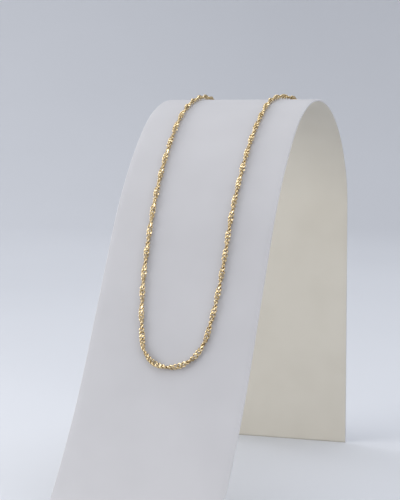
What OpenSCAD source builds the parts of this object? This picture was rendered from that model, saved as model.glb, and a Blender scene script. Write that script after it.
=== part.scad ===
// Neck chain of twisted curb links, draped over an arched card display stand.
// Millimetres: +Z is up, the front of the arch faces -Y, and X runs along its crest.
// The origin is the middle of the footprint, on the surface that the card stands on.

/* [Card] */
// Width of the card, along the crest
card_w = 50; // [44:1:70]
// Thickness of the card
card_t = 0.6; // [0.4:0.1:0.8]

/* [Front of the arch] */
// Bend radius of the crest in front
crest_r = 42; // [38:1:46]
// Slope at which the crest eases into the shoulder
crest_slope = 41; // [36:1:46]
// Bend radius of the shoulder
shoulder_r = 114; // [100:1:125]
// Steepest slope of the front
front_slope = 60.5; // [56:0.5:64]
// Straight run at the steepest slope
front_run = 39; // [30:1:44]
// Radius at which the lower front bends back out
flare_r = 220; // [180:5:260]
// Slope at which the flare turns into the toe
flare_slope = 49.5; // [46:0.5:52]
// Bend radius between the flare and the toe
toe_r = 30; // [20:1:40]
// Flat run of the toe on the table
toe_run = 12; // [8:1:20]

/* [Back of the arch] */
// Bend radius of the crest behind
back_r = 41; // [38:1:44]
// Slope at which the back's bend tightens
back_slope = 64; // [58:1:70]
// Bend radius down to the upright back leg
knee_r = 31; // [28:1:34]

/* [Chain] */
// Width of the chain across its twist
chain_w = 1.5; // [1:0.1:1.8]
// Height of the chain's middle over the card
chain_lift = 0.9; // [0.9:0.05:1.2]
// Bore of the eye at each end of the chain
eye_d = 0.85; // [0.8:0.05:0.9]
// Distance from an eye to the end of the chain
eye_inset = 0.75; // [0.7:0.05:0.9]
// Thickness of the flattened end round an eye
eye_t = 0.7; // [0.6:0.05:0.8]

/* [Clasp and rings] */
// Mean radius of the clasp's ring
clasp_r = 2.2; // [2.1:0.1:2.4]
// Wire thickness of the clasp's ring
clasp_wire = 1; // [0.8:0.1:1]
// Mean radius of the clasp's fixed loop
loop_r = 0.8; // [0.75:0.05:0.9]
// Wire thickness of the loop and of both small rings
ring_wire = 0.5; // [0.4:0.05:0.5]
// Mean radius of the end ring, which the clasp closes on
end_ring_r = 1.35; // [1.3:0.05:1.5]
// Mean radius of the jump ring between the clasp's loop and the chain
jump_ring_r = 1.1; // [1.05:0.05:1.2]
// Height of the clasp's middle over the card
clasp_lift = 1.75; // [1.75:0.05:2]
// Clearance between wires that hang in each other
wire_gap = 0.1; // [0.1:0.01:0.12]

/* [Hidden] */
$fn = 64;

// The card's outer face from the crest down, as bends and straight runs.
// Columns: size (a bend's radius or a straight run's length) and turn in degrees,
// 0 for a straight run and negative where the card bends back out.
SIZE = 0;
TURN = 1;
front = [
    [crest_r, crest_slope],
    [shoulder_r, front_slope - crest_slope],
    [front_run, 0],
    [flare_r, flare_slope - front_slope],
    [toe_r, -flare_slope],
    [toe_run, 0],
];
back_bends = [
    [back_r, back_slope],
    [knee_r, 90 - back_slope],
];

// A place on the card's profile: how far out from the crest, how far down, and the slope there
OUT = 0;
DOWN = 1;
SLOPE = 2;
function run(row) = row[TURN] == 0 ? row[SIZE] : row[SIZE] * abs(row[TURN]) * PI / 180;
function moved(row, dist, from) =
    let (
        h = from[SLOPE],
        r = row[SIZE] * sign(row[TURN]),
        end = row[TURN] == 0 ? h : h + dist / r * 180 / PI
    )
    row[TURN] == 0
        ? [from[OUT] + dist * cos(h), from[DOWN] + dist * sin(h), h]
        : [from[OUT] + r * (sin(end) - sin(h)), from[DOWN] + r * (cos(h) - cos(end)), end];
function place(rows, dist, i = 0, from = [0, 0, 0]) =
    dist <= run(rows[i]) || i == len(rows) - 1
        ? moved(rows[i], dist, from)
        : place(rows, dist - run(rows[i]), i + 1, moved(rows[i], run(rows[i]), from));
function total(rows, i = 0) = i == len(rows) ? 0 : run(rows[i]) + total(rows, i + 1);

// The height of the crest lays the toe on the table, and the back leg reaches down to it
toe_tip = place(front, total(front));
knee_end = place(back_bends, total(back_bends));
crest_h = toe_tip[DOWN] + card_t;
back = concat(back_bends, [[crest_h - knee_end[DOWN], 0]]);

// The clasp stands furthest out behind, and the footprint is centred on the origin
back_reach = knee_end[OUT] + clasp_lift + end_ring_r + ring_wire / 2;
crest_y = (toe_tip[OUT] - back_reach) / 2;

// A point over the card: across it, along it from the crest (positive to the front), lifted off it
function on_card(across, along, lift) =
    let (
        side = along >= 0 ? -1 : 1,
        p = place(along >= 0 ? front : back, abs(along))
    )
    [
        across,
        crest_y + side * (p[OUT] + lift * sin(p[SLOPE])),
        crest_h - p[DOWN] + lift * cos(p[SLOPE]),
    ];
function off_card(along) = on_card(0, along, 1) - on_card(0, along, 0);

// Stations along the card's edge, from the foot of the back leg to the tip of the toe:
// both ends of a straight run, and short steps round each bend
facet = 2;
function stations(rows, i = 0) =
    i == len(rows) ? []
    : let (
        start = total(rows) - total(rows, i),
        count = rows[i][TURN] == 0 ? 1 : ceil(run(rows[i]) / facet)
    )
    concat([for (k = [1:count]) start + run(rows[i]) * k / count], stations(rows, i + 1));
front_stations = stations(front);
back_stations = stations(back);
edge = concat(
    [for (i = [len(back_stations) - 1:-1:0]) -back_stations[i]],
    [0],
    front_stations
);
function flat(p) = [p[1], p[2]];

// The clasp hangs level behind the card. Places along X, from the chain's left end to its right end.
clasp_along = -95;
left_end = -3.5;
left_eye = left_end - eye_inset;
end_ring_x = left_eye + end_ring_r;
clasp_x = end_ring_x + end_ring_r - ring_wire / 2 - wire_gap - clasp_wire / 2 + clasp_r;
loop_x = clasp_x + clasp_r + clasp_wire / 2 + loop_r - ring_wire / 4;
jump_ring_x = loop_x + loop_r - ring_wire - wire_gap + jump_ring_r;
right_eye = jump_ring_x + jump_ring_r;
right_end = right_eye - eye_inset;

// The chain's route over the card. Columns: across, along and lift, as in on_card.
route = [
    [left_end, clasp_along, clasp_lift],
    [left_end - 3, clasp_along, clasp_lift],
    [-10.2, -93.4, 1.3],
    [-13, -89.6, chain_lift],
    [-13.8, -84, chain_lift],
    [-13.8, -60, chain_lift],
    [-13.8, -35, chain_lift],
    [-13.8, -12, chain_lift],
    [-13.8, 8, chain_lift],
    [-13.8, 25, chain_lift],
    [-13.6, 40, chain_lift],
    [-13.3, 53, chain_lift],
    [-12.8, 66, chain_lift],
    [-12.2, 78, chain_lift],
    [-11.1, 89, chain_lift],
    [-9, 100.5, chain_lift],
    [-7, 106.6, chain_lift],
    [-3.6, 110, chain_lift],
    [0.8, 111.1, chain_lift],
    [5.2, 110.1, chain_lift],
    [8.3, 107.6, chain_lift],
    [10.4, 103.4, chain_lift],
    [11.5, 96, chain_lift],
    [12.1, 87, chain_lift],
    [12.2, 78, chain_lift],
    [12, 64, chain_lift],
    [12.1, 48, chain_lift],
    [12.2, 35, chain_lift],
    [12.5, 22, chain_lift],
    [12.2, 8, chain_lift],
    [13, 0, chain_lift],
    [14.6, -6, chain_lift],
    [15.3, -14, chain_lift],
    [15.5, -35, chain_lift],
    [15.5, -60, chain_lift],
    [15.5, -84, chain_lift],
    [14.7, -89.6, chain_lift],
    [11.9, -93.4, 1.3],
    [right_end + 3, clasp_along, clasp_lift],
    [right_end, clasp_along, clasp_lift],
];

// A smooth curve through the route's points, measured by the straight steps between them
steps = [for (i = [1:len(route) - 1]) norm(route[i] - route[i - 1])];
marks = [for (i = 0, at = 0; i < len(route); at = at + (i < len(steps) ? steps[i] : 0), i = i + 1) at];
function pace(i) =
    i == 0 ? (route[1] - route[0]) / steps[0]
    : i == len(steps) ? (route[i] - route[i - 1]) / steps[i - 1]
    : (
        (route[i + 1] - route[i]) / steps[i] * steps[i - 1]
        + (route[i] - route[i - 1]) / steps[i - 1] * steps[i]
    ) / (steps[i] + steps[i - 1]);
function step_at(dist, i = 0) = i == len(steps) - 1 || dist <= marks[i + 1] ? i : step_at(dist, i + 1);
function route_at(dist) =
    let (
        i = step_at(dist),
        u = (dist - marks[i]) / steps[i]
    )
    (2 * u ^ 3 - 3 * u ^ 2 + 1) * route[i] + (u ^ 3 - 2 * u ^ 2 + u) * steps[i] * pace(i)
    + (3 * u ^ 2 - 2 * u ^ 3) * route[i + 1] + (u ^ 3 - u ^ 2) * steps[i] * pace(i + 1);

// The chain as a plain round tube over its twisting links
chain_sides = 8;
ring_pitch = 4.6;
ring_steps = round(marks[len(marks) - 1] / ring_pitch);
ring_dist = marks[len(marks) - 1] / ring_steps;

function unit(v) = v / norm(v);
function chain_point(k) =
    let (p = route_at(k * ring_dist))
    on_card(p[0], p[1], p[2]);
function chain_ring(k) =
    let (
        ahead = unit(chain_point(min(k + 1, ring_steps)) - chain_point(max(k - 1, 0))),
        side = unit(cross(ahead, off_card(route_at(k * ring_dist)[1]))),
        up = cross(side, ahead)
    )
    [
        for (j = [0:chain_sides - 1])
            let (a = 360 * (j + 0.5) / chain_sides)
            chain_point(k) + chain_w / 2 * (cos(a) * side + sin(a) * up)
    ];

module chain_tube() {
    points = [for (k = [0:ring_steps]) each chain_ring(k)];
    walls = [
        for (k = [0:ring_steps - 1], j = [0:chain_sides - 1])
            let (
                a = k * chain_sides + j,
                b = k * chain_sides + (j + 1) % chain_sides
            )
            each [[a, a + chain_sides, b], [b, a + chain_sides, b + chain_sides]]
    ];
    first = [for (j = [0:chain_sides - 1]) j];
    last = [for (j = [chain_sides - 1:-1:0]) ring_steps * chain_sides + j];
    polyhedron(points, concat([first, last], walls));
}

// What is taken off an end of the chain: both cheeks of its flat, and the eye's bore
module eye_cut(x) {
    translate(on_card(x, clasp_along, clasp_lift)) {
        rotate([90, 0, 0])
            cylinder(d = eye_d, h = 2 * chain_w, center = true);
        for (side = [-1, 1])
            translate([0, side * (eye_t + chain_w) / 2, 0])
                cube([2.5 * chain_w, chain_w, 2 * chain_w], center = true);
    }
}

module wire_ring(mean_r, wire) {
    rotate_extrude()
        translate([mean_r, 0])
            circle(d = wire);
}

module card_stand() {
    outline = concat(
        [for (s = edge) flat(on_card(0, s, 0))],
        [for (i = [len(edge) - 1:-1:0]) flat(on_card(0, edge[i], -card_t))]
    );
    color("#dcdee4")
        rotate([90, 0, 90])
            linear_extrude(card_w, center = true)
                polygon(outline);
}

module chain() {
    color("#c8a35a")
        difference() {
            chain_tube();
            eye_cut(left_eye);
            eye_cut(right_eye);
        }
}

// Spring-ring clasp with its fixed loop and thumb knob, closed, as one plain piece
module clasp() {
    knob_d = 0.8;
    knob_h = 0.9;
    color("#c8a35a") {
        translate(on_card(clasp_x, clasp_along, clasp_lift))
            rotate([90, 0, 0]) {
                wire_ring(clasp_r, clasp_wire);
                rotate([0, 0, 60])
                    translate([clasp_r, 0, 0])
                        rotate([0, 90, 0])
                            cylinder(d = knob_d, h = knob_h);
            }
        translate(on_card(loop_x, clasp_along, clasp_lift))
            rotate([90, 0, 0])
                wire_ring(loop_r, ring_wire);
    }
}

// Both small rings stand square to the clasp, so that the wires hang in each other
module end_ring() {
    color("#c8a35a")
        translate(on_card(end_ring_x, clasp_along, clasp_lift))
            wire_ring(end_ring_r, ring_wire);
}

module jump_ring() {
    color("#c8a35a")
        translate(on_card(jump_ring_x, clasp_along, clasp_lift))
            wire_ring(jump_ring_r, ring_wire);
}

card_stand();
chain();
clasp();
end_ring();
jump_ring();
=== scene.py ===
import math
import bpy
import bmesh
import numpy as np
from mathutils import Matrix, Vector


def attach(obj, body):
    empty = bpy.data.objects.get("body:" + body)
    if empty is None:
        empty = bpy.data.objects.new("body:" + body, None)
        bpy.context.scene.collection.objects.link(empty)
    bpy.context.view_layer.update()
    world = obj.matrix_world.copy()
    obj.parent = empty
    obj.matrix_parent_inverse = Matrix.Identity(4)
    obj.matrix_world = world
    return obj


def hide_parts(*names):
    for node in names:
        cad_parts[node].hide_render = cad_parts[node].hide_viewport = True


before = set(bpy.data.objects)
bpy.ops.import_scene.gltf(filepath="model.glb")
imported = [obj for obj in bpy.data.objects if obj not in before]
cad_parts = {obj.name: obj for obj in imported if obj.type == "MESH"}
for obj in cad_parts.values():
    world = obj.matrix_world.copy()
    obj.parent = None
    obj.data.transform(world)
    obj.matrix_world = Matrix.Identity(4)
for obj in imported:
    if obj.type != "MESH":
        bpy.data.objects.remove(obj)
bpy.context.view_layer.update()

# The camera stands to the right of the arch, level with its crest, and looks a little down
# at it. Its long lens keeps both sides of the card nearly parallel in the picture.
camera_data = bpy.data.cameras.new("camera")
camera_data.sensor_width = 36
camera_data.lens = 108
camera_data.clip_start = 0.01
camera = bpy.data.objects.new("camera", camera_data)
camera.location = (0.15008, -0.42453, 0.11419)
camera_view = Vector((-0.332, 0.9391, -0.0884))
camera.rotation_euler = camera_view.to_track_quat("-Z", "Y").to_euler()
bpy.context.collection.objects.link(camera)
bpy.context.scene.camera = camera


# The display card is one strip of heavy matt card, white outside and cream inside, its cream
# partly painted light: lighter and warmer, for light shining through the card. It is bent
# over by hand into an arch and stands on its back edge and its turned-out toe, with nothing
# glued or folded. Its cut edges are very slightly softened, and painted light makes them as
# bright as the face.
MM = 0.001
card_width = 50
card_thickness = 0.6
cut_radius = 0.12
corner_points = 5
face_points = 26
station_pitch = 0.75

# Bends and straight runs from the crest down: a bend's radius or a run's length in mm, and
# the turn in degrees, 0 for a straight run and negative where the card bends back out
front_rows = [(42, 41), (114, 19.5), (39, 0), (220, -11), (30, -49.5), (12, 0)]
back_rows = [(41, 64), (31, 26)]
crest_y = 43.426
crest_height = 119.809


def row_length(row):
    """How much card a bend or a straight run takes."""
    size, turn = row
    return size if turn == 0 else size * math.radians(abs(turn))


def move_on(row, distance, start):
    """Out, down and slope after going a distance into a bend or a straight run."""
    size, turn = row
    out, down, slope = start
    if turn == 0:
        return (out + distance * math.cos(slope), down + distance * math.sin(slope), slope)
    radius = math.copysign(size, turn)
    end = slope + distance / radius
    return (
        out + radius * (math.sin(end) - math.sin(slope)),
        down + radius * (math.cos(slope) - math.cos(end)),
        end,
    )


def place_on(rows, distance):
    """Out, down and slope at a distance down from the crest."""
    spot = (0, 0, 0)
    for row in rows[:-1]:
        if distance <= row_length(row):
            return move_on(row, distance, spot)
        spot = move_on(row, row_length(row), spot)
        distance -= row_length(row)
    return move_on(rows[-1], distance, spot)


knee_down = place_on(back_rows, sum(row_length(row) for row in back_rows))[1]
back_rows.append((crest_height - knee_down, 0))
front_length = sum(row_length(row) for row in front_rows)
back_length = sum(row_length(row) for row in back_rows)


def on_card(across, along, lift):
    """A point in mm: across the card, along it (positive to the front), lifted off it."""
    side = -1 if along >= 0 else 1
    out, down, slope = place_on(front_rows if along >= 0 else back_rows, abs(along))
    return np.array([
        across,
        crest_y + side * (out + lift * math.sin(slope)),
        crest_height - down + lift * math.cos(slope),
    ])


def off_card(along):
    """The direction straight off the card's outer face."""
    return on_card(0, along, 1) - on_card(0, along, 0)


def add_piece(name, points, faces):
    """A smooth-shaded mesh from points in mm, its faces turned outward."""
    mesh = bpy.data.meshes.new(name)
    mesh.from_pydata((np.asarray(points) * MM).tolist(), [], faces)
    turned = bmesh.new()
    turned.from_mesh(mesh)
    bmesh.ops.recalc_face_normals(turned, faces=turned.faces)
    turned.to_mesh(mesh)
    turned.free()
    mesh.polygons.foreach_set("use_smooth", [True] * len(mesh.polygons))
    mesh.update()
    piece = bpy.data.objects.new(name, mesh)
    bpy.context.collection.objects.link(piece)
    return piece


def ring_faces(rings, around, closed=False):
    """Faces between rings of points, each ring closed on itself."""
    return [
        (
            i * around + j,
            i * around + (j + 1) % around,
            (i + 1) % rings * around + (j + 1) % around,
            (i + 1) % rings * around + j,
        )
        for i in range(rings if closed else rings - 1) for j in range(around)
    ]


# Half of the strip's section, (across, lift): a softened edge, the face, a softened edge
corner = np.radians(np.linspace(0, 90, corner_points))
edge_across = card_width / 2 - cut_radius + cut_radius * np.cos(corner)
edge_lift = cut_radius * (np.sin(corner) - 1)
face_across = np.linspace(
    -card_width / 2 + cut_radius, card_width / 2 - cut_radius, face_points,
)
outer_half = [(-a, b) for a, b in zip(edge_across, edge_lift)]
outer_half += [(a, 0) for a in face_across[1:-1]]
outer_half += [(a, b) for a, b in zip(edge_across[::-1], edge_lift[::-1])]
inner_half = [(-a, -card_thickness - b) for a, b in outer_half]
section = outer_half + inner_half

stations = np.concatenate([
    [-back_length],
    -np.arange(station_pitch, back_length, station_pitch)[::-1],
    np.arange(0, front_length, station_pitch),
    [front_length],
])
card_points = []
for along in stations:
    face_point = on_card(0, along, 0)
    off = off_card(along)
    card_points += [face_point + b * off + np.array([a, 0, 0]) for a, b in section]
around = len(section)
half = len(outer_half)
card_faces = ring_faces(len(stations), around)
end_of_walls = len(card_faces)
for start in (0, (len(stations) - 1) * around):
    for j in range(half - 1):
        card_faces.append((
            start + j, start + j + 1, start + around - 2 - j, start + around - 1 - j,
        ))
card = add_piece("bent_card", card_points, card_faces)
for edge_face in card.data.polygons[end_of_walls:]:
    edge_face.use_smooth = False


def shader_nodes(name):
    """A new material with its node tree, its links and its surface shader."""
    material = bpy.data.materials.new(name)
    material.use_nodes = True
    nodes = material.node_tree.nodes
    return material, nodes, material.node_tree.links, nodes["Principled BSDF"]


def noise_at(nodes, links, scale, detail=3, stretch=(1, 1, 1)):
    """Noise in the piece's own coordinates, scale in cells per metre."""
    place = nodes.new("ShaderNodeTexCoord")
    mapping = nodes.new("ShaderNodeMapping")
    mapping.inputs["Scale"].default_value = stretch
    noise = nodes.new("ShaderNodeTexNoise")
    noise.inputs["Scale"].default_value = scale
    noise.inputs["Detail"].default_value = detail
    links.new(place.outputs["Object"], mapping.inputs["Vector"])
    links.new(mapping.outputs["Vector"], noise.inputs["Vector"])
    return noise.outputs["Fac"]


def blend_colours(nodes, links, factor, low, high, spread=(0.35, 0.65)):
    """Goes from one colour to another as the factor rises through the spread."""
    ramp = nodes.new("ShaderNodeValToRGB")
    ramp.color_ramp.elements[0].position = spread[0]
    ramp.color_ramp.elements[0].color = (*low, 1)
    ramp.color_ramp.elements[1].position = spread[1]
    ramp.color_ramp.elements[1].color = (*high, 1)
    links.new(factor, ramp.inputs["Fac"])
    return ramp.outputs["Color"]


def card_finish(name, low, high):
    """Uncoated card: faint clouding, short fibres and a soft tooth under raking light."""
    material, nodes, links, shader = shader_nodes(name)
    clouds = noise_at(nodes, links, scale=55, detail=2)
    links.new(blend_colours(nodes, links, clouds, low, high), shader.inputs["Base Color"])
    fibres = noise_at(nodes, links, scale=900, detail=4, stretch=(1, 0.35, 0.35))
    bump = nodes.new("ShaderNodeBump")
    bump.inputs["Strength"].default_value = 0.12
    bump.inputs["Distance"].default_value = 0.00008
    links.new(fibres, bump.inputs["Height"])
    links.new(bump.outputs["Normal"], shader.inputs["Normal"])
    shader.inputs["Roughness"].default_value = 0.82
    shader.inputs["Specular IOR Level"].default_value = 0.25
    return material


white_card = card_finish("white_card_face", (0.497, 0.49, 0.503), (0.517, 0.51, 0.523))
# The inside's cream is partly painted light: lighter and warmer, standing in for light shining
# through the card.
cream_and_glow_card = card_finish("cream_card_back_painted_glow", (0.60, 0.566, 0.495), (0.63, 0.597, 0.527))
# Cut edges and end faces are coloured lighter than the face, painted light, so that edges turned
# away from the lamps look as bright as the face.
painted_light_edge_card = card_finish("painted_light_card_edge", (0.68, 0.67, 0.68), (0.71, 0.70, 0.71))
for finish in (white_card, cream_and_glow_card, painted_light_edge_card):
    card.data.materials.append(finish)
white_side, cream_glow_side, painted_light_edge = 0, 1, 2
edge_faces = corner_points - 2
# The faces at the cut edges and the end faces take the painted light.
for number, polygon in enumerate(card.data.polygons):
    spot = number % around
    from_right_cut = abs(spot - (half - 1))
    from_left_cut = min(spot + 1, around - 1 - spot)
    if number >= end_of_walls or min(from_right_cut, from_left_cut) <= edge_faces:
        polygon.material_index = painted_light_edge
    elif half <= spot:
        polygon.material_index = cream_glow_side
    else:
        polygon.material_index = white_side
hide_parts("card_stand")
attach(card, "root")


# The chain is fine gold wire, one curb link soldered shut through the last, then twisted
# along its whole length and filed flat on both broad sides. It lies loose on the outer face
# of the card, with nothing to hold it but the crest that it hangs over.
lift = 0.9

# Its route goes from the clasp up the left of the back, over the crest, down the front, round
# the loop and back up the right. Columns in mm: across, along (positive to the front), lift
route = np.array([
    [-3.5, -95, 1.75],
    [-6.5, -95, 1.75],
    [-10.2, -93.4, 1.3],
    [-13, -89.6, lift],
    [-13.8, -84, lift],
    [-13.8, -60, lift],
    [-13.8, -35, lift],
    [-13.8, -12, lift],
    [-13.8, 8, lift],
    [-13.8, 25, lift],
    [-13.6, 40, lift],
    [-13.3, 53, lift],
    [-12.8, 66, lift],
    [-12.2, 78, lift],
    [-11.1, 89, lift],
    [-9, 100.5, lift],
    [-7, 106.6, lift],
    [-3.6, 110, lift],
    [0.8, 111.1, lift],
    [5.2, 110.1, lift],
    [8.3, 107.6, lift],
    [10.4, 103.4, lift],
    [11.5, 96, lift],
    [12.1, 87, lift],
    [12.2, 78, lift],
    [12, 64, lift],
    [12.1, 48, lift],
    [12.2, 35, lift],
    [12.5, 22, lift],
    [12.2, 8, lift],
    [13, 0, lift],
    [14.6, -6, lift],
    [15.3, -14, lift],
    [15.5, -35, lift],
    [15.5, -60, lift],
    [15.5, -84, lift],
    [14.7, -89.6, lift],
    [11.9, -93.4, 1.3],
    [7.825, -95, 1.75],
    [4.825, -95, 1.75],
])

steps = np.linalg.norm(np.diff(route, axis=0), axis=1)
marks = np.concatenate([[0], np.cumsum(steps)])
pace = np.empty_like(route)
pace[0] = (route[1] - route[0]) / steps[0]
pace[-1] = (route[-1] - route[-2]) / steps[-1]
for i in range(1, len(route) - 1):
    before = (route[i] - route[i - 1]) / steps[i - 1]
    after = (route[i + 1] - route[i]) / steps[i]
    pace[i] = (after * steps[i - 1] + before * steps[i]) / (steps[i] + steps[i - 1])


def route_at(mark):
    """A point of the smooth curve through the route, by its mark along it."""
    i = min(max(int(np.searchsorted(marks, mark)) - 1, 0), len(steps) - 1)
    u = (mark - marks[i]) / steps[i]
    return (
        (2 * u**3 - 3 * u**2 + 1) * route[i] + (u**3 - 2 * u**2 + u) * steps[i] * pace[i]
        + (3 * u**2 - 2 * u**3) * route[i + 1] + (u**3 - u**2) * steps[i] * pace[i + 1]
    )


# The route in space, by true distance, with the chain's side and upright at every point
route_steps = 4500
route_points = [route_at(mark) for mark in np.linspace(0, marks[-1], route_steps)]
chain_line = np.array([on_card(*point) for point in route_points])
chain_off = np.array([off_card(point[1]) for point in route_points])
chain_distance = np.concatenate([
    [0], np.cumsum(np.linalg.norm(np.diff(chain_line, axis=0), axis=1)),
])
chain_length = chain_distance[-1]
chain_ahead = np.gradient(chain_line, axis=0)
chain_ahead /= np.linalg.norm(chain_ahead, axis=1)[:, None]
chain_side = np.cross(chain_ahead, chain_off)
chain_side /= np.linalg.norm(chain_side, axis=1)[:, None]
chain_up = np.cross(chain_side, chain_ahead)


def along_chain(table, distance):
    """A table's value at each distance along the chain."""
    return np.stack([np.interp(distance, chain_distance, table[:, k]) for k in range(3)], -1)


# One link in mm, its twist in radians, and how high and at what slope its flats are filed.
# They show at every half turn, closer together on the hanging sides than round the loop.
link_wire = 0.42
link_width = 1.7
link_length = 1.553
link_pitch = 1.1
link_turn = -1.121
link_curl = 0.336
link_squareness = 0.714
filed_height = 0.38
filed_slope = -0.15
filed_lean = 0.27
first_link = 0.99
# Distance along the chain in mm, and the half turns that it has made by there
half_turns = [
    (first_link, 0),
    (132, 20.1),
    (206, 31.1),
    (217, 32),
    (224.5, 32.9),
    (250, 36.9),
    (316, 47.9),
    (441.04, 67),
]


def chain_turn(distance):
    """How far the chain has twisted by a distance along it, in radians."""
    return math.pi * np.interp(distance, *zip(*half_turns))


def link_surface(segments=32, sides=12, inner_limit=0.1):
    """One link about its own middle: rings of points along its wire, before it is placed.

    Also says which of its points lie on the inside of the link, where the gold is painted darker
    as shade between the links.
    """
    fine_steps = 2001
    turn = np.linspace(0, 2 * math.pi, fine_steps)
    c, s = np.cos(turn), np.sin(turn)
    x = link_length / 2 * np.sign(c) * np.abs(c) ** link_squareness
    w = (link_width - link_wire) / 2 * np.sign(s) * np.abs(s) ** link_squareness
    tilt = link_turn * x + link_curl * x**3
    line = np.stack([x, w * np.cos(tilt), w * np.sin(tilt)], -1)
    run = np.concatenate([[0], np.cumsum(np.linalg.norm(np.diff(line, axis=0), axis=1))])
    spots = np.linspace(0, run[-1], segments, endpoint=False)
    line = np.stack([np.interp(spots, run, line[:, k]) for k in range(3)], -1)
    ahead = np.roll(line, -1, 0) - np.roll(line, 1, 0)
    ahead /= np.linalg.norm(ahead, axis=1)[:, None]
    tilt = link_turn * line[:, 0] + link_curl * line[:, 0] ** 3
    broad = np.stack([np.zeros(segments), -np.sin(tilt), np.cos(tilt)], -1)
    across = np.cross(ahead, broad)
    across /= np.linalg.norm(across, axis=1)[:, None]
    upright = np.cross(across, ahead)
    angles = np.linspace(0, 2 * math.pi, sides, endpoint=False)[None, :, None]
    wire = np.cos(angles) * across[:, None] + np.sin(angles) * upright[:, None]
    outward = (wire[:, :, 1:] * line[:, None, 1:]).sum(-1)
    inward = outward < inner_limit * np.abs(line[:, None, 1:]).sum(-1)
    return line[:, None] + link_wire / 2 * wire, inward.ravel()


link_template, inward = link_surface()
segments, sides = link_template.shape[:2]
link_count = round((chain_length - 2 * first_link) / link_pitch) + 1
link_places = np.linspace(first_link, chain_length - first_link, link_count)


def place_link(middle, leans):
    """A link's points in mm, twisted and bent into the chain, its broad sides filed flat."""
    x, y, z = link_template.reshape(-1, 3).T
    distance = middle + x
    turned = chain_turn(middle) - chain_turn(distance)
    flat_y = y * np.cos(turned) - z * np.sin(turned)
    flat_z = y * np.sin(turned) + z * np.cos(turned)
    front_cut = filed_height + (filed_slope + leans[0]) * x + leans[1] * flat_y
    back_cut = -filed_height - (filed_slope + leans[2]) * x + leans[3] * flat_y
    filed = (flat_z > front_cut) | (flat_z < back_cut)
    flat_z = np.clip(flat_z, back_cut, front_cut)
    turn = chain_turn(distance)
    y = flat_y * np.cos(turn) - flat_z * np.sin(turn)
    z = flat_y * np.sin(turn) + flat_z * np.cos(turn)
    points = (
        along_chain(chain_line, np.clip(distance, 0, chain_length))
        + y[:, None] * along_chain(chain_side, distance)
        + z[:, None] * along_chain(chain_up, distance)
    )
    return points, filed


link_faces = ring_faces(segments, sides, closed=True)
polished_side, painted_shade_side = 0, 1


def add_links(name, places):
    """One piece of many links, each filed face with its own small seeded lean."""
    points, faces, filed = [], [], []
    filing = np.random.default_rng(len(places))
    for number, middle in enumerate(places):
        link_points, link_filed = place_link(middle, filing.uniform(-filed_lean, filed_lean, 4))
        points.append(link_points)
        filed.append(link_filed)
        first = number * segments * sides
        faces += [tuple(first + k for k in face) for face in link_faces]
    piece = add_piece(name, np.concatenate(points), faces)
    filed = np.concatenate(filed)
    inner = np.tile(inward, len(places))
    # Faces wholly on the inside of a link take the darker gold, painted shade for the gaps
    # between links.
    for polygon in piece.data.polygons:
        corners = list(polygon.vertices)
        polygon.material_index = polished_side
        if filed[corners].all():
            polygon.use_smooth = False
        elif inner[corners].all():
            polygon.material_index = painted_shade_side
    return piece


# The links go into two pieces, parted where the chain crosses the crest
in_front_points = np.array([point[1] >= 0 for point in route_points])
crest_left = chain_distance[np.argmax(in_front_points)]
crest_right = chain_distance[-1 - np.argmax(in_front_points[::-1])]
in_front = (link_places > crest_left) & (link_places < crest_right)
front_links = add_links("chain_links_front", link_places[in_front])
back_links = add_links("chain_links_back", link_places[~in_front])


def gold_finish(name, polish, low=(0.76, 0.58, 0.31), high=(0.90, 0.725, 0.44), wear=0.16):
    """Yellow gold with the slight cloudiness and fine scratches of handling."""
    material, nodes, links, shader = shader_nodes(name)
    tone = noise_at(nodes, links, scale=700, detail=2)
    colour = blend_colours(nodes, links, tone, low, high)
    links.new(colour, shader.inputs["Base Color"])
    shader.inputs["Metallic"].default_value = 1
    handling = noise_at(nodes, links, scale=2600, detail=3, stretch=(1, 1, 0.4))
    worn = nodes.new("ShaderNodeMapRange")
    worn.inputs["To Min"].default_value = polish
    worn.inputs["To Max"].default_value = polish + wear
    links.new(handling, worn.inputs["Value"])
    links.new(worn.outputs["Result"], shader.inputs["Roughness"])
    bump = nodes.new("ShaderNodeBump")
    bump.inputs["Strength"].default_value = 0.15
    bump.inputs["Distance"].default_value = 0.00001
    links.new(handling, bump.inputs["Height"])
    links.new(bump.outputs["Normal"], shader.inputs["Normal"])
    return material


link_gold = gold_finish("diamond_cut_gold", polish=0.15)
# The links' inside faces: matt gold coloured darker, painted shade where the links crowd one
# another.
painted_shade_gold = gold_finish(
    "painted_shade_inner_gold", polish=0.4, low=(0.43, 0.31, 0.13), high=(0.53, 0.395, 0.18),
)
for links_piece in (front_links, back_links):
    links_piece.data.materials.append(link_gold)
    links_piece.data.materials.append(painted_shade_gold)
    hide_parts("chain")
    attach(links_piece, "root")


# The spring-ring clasp: a hollow gold tube bent round and left open, with a thinner tongue
# that slides in it on a spring, a thumb knob on the tongue and a loop soldered on outside.
clasp_along = -95
clasp_lift = 1.75
clasp_middle = on_card(-0.2, clasp_along, clasp_lift)
clasp_radius = 2.2
tube_wire = 1.0
tube_start, tube_end = 66, 390
tongue_wire = 0.66
tongue_start, tongue_end = 20, 76
knob_angle = 57
# The turned knob's columns in mm: how far out from the clasp's middle, and its thickness
knob_profile = np.array([
    [1.95, 0.42],
    [2.5, 0.42],
    [2.62, 0.62],
    [2.72, 0.8],
    [2.95, 0.8],
    [3.05, 0.7],
    [3.1, 0.5],
])
loop_middle = on_card(3.175, clasp_along, clasp_lift)
loop_radius = 0.8
ring_wire = 0.5
wire_sides = 24


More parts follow.
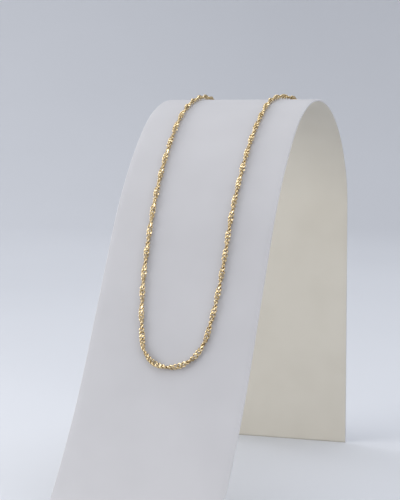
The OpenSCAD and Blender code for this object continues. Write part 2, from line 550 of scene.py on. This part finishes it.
def round_wire(line, wires, out, up, closed=False):
    """Points and faces of a round wire on a line, its thickness given at each point."""
    angles = np.linspace(0, 2 * math.pi, wire_sides, endpoint=False)[None, :, None]
    around_line = np.cos(angles) * out + np.sin(angles) * up
    rings = line[:, None] + np.asarray(wires)[:, None, None] / 2 * around_line
    faces = ring_faces(len(line), wire_sides, closed)
    if not closed:
        last_ring = (len(line) - 1) * wire_sides
        faces.append(tuple(range(wire_sides)))
        faces.append(tuple(last_ring + j for j in range(wire_sides)))
    return rings.reshape(-1, 3), faces


def bent_wire(line, wires, closed=False):
    """A round wire bent along a flat curve."""
    if closed:
        ahead = np.roll(line, -1, 0) - np.roll(line, 1, 0)
    else:
        ahead = np.gradient(line, axis=0)
    ahead /= np.linalg.norm(ahead, axis=1)[:, None]
    out = line - line.mean(0)
    out -= (out * ahead).sum(1)[:, None] * ahead
    out /= np.linalg.norm(out, axis=1)[:, None]
    up = np.cross(ahead, out)
    return round_wire(line, np.ones(len(line)) * wires, out[:, None], up[:, None], closed)


def arc(middle, radius, start, end, count):
    """Points on an upright circle behind the card, angles in degrees from its right."""
    angles = np.radians(np.linspace(start, end, count))
    return middle + radius * np.stack([np.cos(angles), 0 * angles, np.sin(angles)], -1)


def solder(name, parts, shortest_edge=0.0005, crisp_angle=35):
    """One closed skin from parts that run into each other, crisp where they meet."""
    body, *others = [add_piece(name, *part) for part in parts]
    for other in others:
        joint = body.modifiers.new("solder", "BOOLEAN")
        joint.operation = "UNION"
        joint.solver = "EXACT"
        joint.object = other
    joined = body.evaluated_get(bpy.context.evaluated_depsgraph_get())
    soldered = bpy.data.meshes.new_from_object(joined)
    body.modifiers.clear()
    body.data = soldered
    soldered.name = name
    skin = bmesh.new()
    skin.from_mesh(soldered)
    bmesh.ops.dissolve_degenerate(skin, dist=shortest_edge * MM, edges=skin.edges)
    bmesh.ops.triangulate(skin, faces=[face for face in skin.faces if len(face.verts) > 4])
    skin.to_mesh(soldered)
    skin.free()
    soldered.set_sharp_from_angle(angle=math.radians(crisp_angle))
    for other in others:
        bpy.data.objects.remove(other)
    return body


def soft_ends(count, wire, ease=0.2, reach=4):
    """Wire thickness at count points, the last few at both ends rounded over."""
    place = np.linspace(0, 1, count)
    gap = np.minimum(place, 1 - place) * count / reach
    return wire * (1 - ease * np.clip(1 - gap, 0, 1) ** 2)


# The tube runs the long way round from under the knob, and the tongue bridges its opening
tube_line = arc(clasp_middle, clasp_radius, tube_start, tube_end, 120)
tube = bent_wire(tube_line, soft_ends(len(tube_line), tube_wire))
tongue = bent_wire(arc(clasp_middle, clasp_radius, tongue_start, tongue_end, 30), tongue_wire)
loop = bent_wire(arc(loop_middle, loop_radius, 0, 360, 65)[:-1], ring_wire, closed=True)
knob_out = arc(np.zeros(3), 1, knob_angle, knob_angle, 1)[0]
knob_line = clasp_middle + np.outer(knob_profile[:, 0], knob_out)
knob_side = np.array([0, 1, 0])
knob = round_wire(knob_line, knob_profile[:, 1], knob_side, np.cross(knob_out, knob_side))
clasp = solder("spring_ring_clasp", [tube, tongue, knob, loop])
finding_gold = gold_finish("polished_gold", polish=0.1)
clasp.data.materials.append(finding_gold)
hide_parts("clasp")
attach(clasp, "root")


# Two small rings of round gold wire lie level, square to the clasp: the soldered end ring
# that the clasp closes on, and the jump ring between the clasp's loop and the chain.
end_ring_middle = on_card(-2.9, clasp_along, clasp_lift)
end_ring_radius = 1.35
jump_ring_middle = on_card(4.475, clasp_along, clasp_lift)
jump_ring_radius = 1.1


def level_ring(name, node, middle, radius):
    """A closed ring of round wire that lies level and stands for a node."""
    angles = np.radians(np.arange(0, 360, 5))
    line = middle + radius * np.stack([np.cos(angles), np.sin(angles), 0 * angles], -1)
    piece = add_piece(name, *bent_wire(line, ring_wire, closed=True))
    piece.data.materials.append(finding_gold)
    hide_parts(node)
    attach(piece, "root")


level_ring("soldered_end_ring", "end_ring", end_ring_middle, end_ring_radius)
level_ring("small_jump_ring", "jump_ring", jump_ring_middle, jump_ring_radius)


# The studio: a pale round floor that sweeps up all round into a low wall, so that floor and
# background meet in a soft band from any side. It is one sheet of matt paper, in mm.
floor_radius = 1050
sweep_radius = 550
wall_height = 800
floor_rings = [300, 600]
sweep_turn = np.radians(np.arange(0, 91, 5))
studio_out = np.concatenate([
    floor_rings, floor_radius + sweep_radius * np.sin(sweep_turn), [floor_radius + sweep_radius],
])
studio_height = np.concatenate([
    [0] * len(floor_rings), sweep_radius * (1 - np.cos(sweep_turn)), [wall_height],
])
compass = np.radians(np.arange(0, 360, 5))
studio_points = [(0, 0, 0)]
for out, height in zip(studio_out, studio_height):
    studio_points += [(out * math.cos(a), out * math.sin(a), height) for a in compass]
count = len(compass)
studio_faces = [(0, 1 + j, 1 + (j + 1) % count) for j in range(count)]
studio_faces += [tuple(1 + k for k in face) for face in ring_faces(len(studio_out), count)]
sweep = add_piece("studio_sweep", studio_points, studio_faces)
sheet_material, nodes, links, shader = shader_nodes("studio_sheet")
sheet_tone = noise_at(nodes, links, scale=3, detail=2)
sheet_low, sheet_high = (0.605, 0.618, 0.651), (0.62, 0.633, 0.666)
sheet_colour = blend_colours(nodes, links, sheet_tone, sheet_low, sheet_high)
links.new(sheet_colour, shader.inputs["Base Color"])
shader.inputs["Roughness"].default_value = 0.9
shader.inputs["Specular IOR Level"].default_value = 0.2
sweep.data.materials.append(sheet_material)


# The light: a broad softbox low at the left, a weak one at the right, one turned on the
# background and a wide one overhead, in pale air that is brighter from above.
def softbox(name, place, aim, size, power, colour):
    """A soft light, its place, aim, width and height in metres."""
    data = bpy.data.lights.new(name, "AREA")
    data.shape = "RECTANGLE"
    data.size, data.size_y = size
    data.energy = power
    data.color = colour
    light = bpy.data.objects.new(name, data)
    light.location = place
    light.rotation_euler = (Vector(aim) - Vector(place)).to_track_quat("-Z", "Y").to_euler()
    light.visible_camera = False
    bpy.context.collection.objects.link(light)


chain_front = (0, -0.01, 0.08)
softbox("key_softbox", (-0.38, -0.2, 0.18), chain_front, (0.44, 0.24), 1.46, (1, 0.99, 0.97))
softbox("fill_softbox", (0.35, -0.2, 0.22), chain_front, (0.2, 0.2), 0.35, (0.98, 0.99, 1))
softbox("background_softbox", (-0.9, 0.6, 1.0), (-0.65, 1.2, 0), (0.5, 0.5), 4.3, (0.97, 0.98, 1))
softbox("top_softbox", (0.05, 0.1, 1.1), (0, 0, 0), (0.9, 0.9), 5.45, (0.915, 0.952, 1))

world = bpy.data.worlds.new("studio_air")
world.use_nodes = True
nodes, links = world.node_tree.nodes, world.node_tree.links
direction = nodes.new("ShaderNodeTexCoord")
upward = nodes.new("ShaderNodeVectorMath")
upward.operation = "DOT_PRODUCT"
upward.inputs[1].default_value = (-0.2, 0, 1)
links.new(direction.outputs["Generated"], upward.inputs[0])
dim, bright = (0.12, 0.122, 0.13), (1.12, 1.14, 1.2)
air_colour = blend_colours(nodes, links, upward.outputs["Value"], dim, bright, (0.2, 0.75))
air = nodes["Background"]
links.new(air_colour, air.inputs["Color"])
air.inputs["Strength"].default_value = 0.58
bpy.context.scene.world = world
bpy.context.scene.view_settings.view_transform = "Standard"
bpy.context.scene.view_settings.look = "None"
bpy.context.scene.view_settings.exposure = 0
bpy.context.scene.view_settings.gamma = 1
